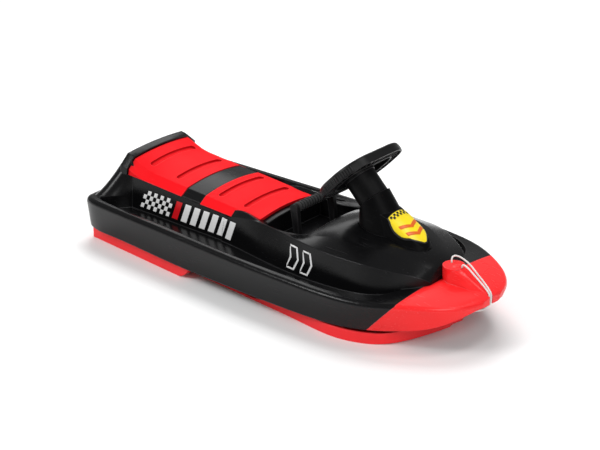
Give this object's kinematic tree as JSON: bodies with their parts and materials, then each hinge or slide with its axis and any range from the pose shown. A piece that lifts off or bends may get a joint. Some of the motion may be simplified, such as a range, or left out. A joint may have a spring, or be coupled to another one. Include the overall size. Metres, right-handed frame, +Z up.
{
  "type": "steering sled",
  "caption": "Moulded steering sled with saddle seat, tilted steering wheel that turns a wide front ski, fixed rear runners, pull-back claw brake and nose bumper with tow rope.",
  "frame": {"origin": "on the snow under the middle of the sled's length and width", "axes": "+X to the nose, +Y to the rider's left, +Z up"},
  "size_m": [1.232, 0.5226, 0.4278],
  "materials": {
    "black_shell": "moulded plastic, satin to glossy",
    "red_shell": "moulded plastic, glossy",
    "black_grip": "moulded plastic, fine grain",
    "grey_polymer": "filled polymer, as moulded",
    "steel": "zinc-plated steel",
    "white_rope": "laid polyester cord"
  },
  "bodies": {
    "hull": {"hull_shell": "black_shell", "nose_bumper": "red_shell", "bumper_screws": "steel", "seat_pad_rear": "red_shell", "seat_pad_front": "red_shell", "rear_runner_left": "red_shell", "rear_runner_right": "red_shell", "runner_screws": "steel", "steering_housing": "black_shell", "housing_screws": "steel", "shaft_bush_upper": "grey_polymer", "shaft_bush_lower": "grey_polymer", "steering_carrier": "grey_polymer", "carrier_screws": "steel", "post_bush_upper": "grey_polymer", "post_bush_lower": "grey_polymer", "brake_axle": "steel", "brake_return_spring": "steel", "tow_rope": "white_rope"},
    "column": {"steering_wheel": "black_grip", "wheel_cap": "black_grip", "wheel_nut": "steel", "hub_sleeve": "black_shell", "steering_shaft": "steel", "cross_pin": "steel"},
    "ski": {"steering_ski": "red_shell", "king_post": "steel", "thrust_washer": "grey_polymer", "ski_bolts": "steel"},
    "brake": {"brake_lever": "black_grip", "brake_grip": "black_grip", "brake_claw": "steel", "claw_bolts": "steel"}
  },
  "joints": [
    {"name": "wheel_turn", "type": "hinge", "parent": "hull", "child": "column", "pos_m": [0.23531, 0, 0.291], "axis": [-0.7193, 0, 0.6947], "range_deg": [-20, 20]},
    {"name": "ski_turn", "type": "hinge", "parent": "hull", "child": "ski", "pos_m": [0.30005, 0, 0.1], "axis": [0, 0, 1], "range_deg": [-14, 14]},
    {"name": "brake_pull", "type": "hinge", "parent": "hull", "child": "brake", "pos_m": [0.04435, 0, 0.104], "axis": [0, -1, 0], "range_deg": [0, 20], "stiffness_Nm_per_rad": 1, "springref_deg": -34.38, "deforming": ["brake_return_spring"]}
  ],
  "couplings": [
    {"joint": "ski_turn", "follows": "wheel_turn", "ratio": 0.7}
  ]
}
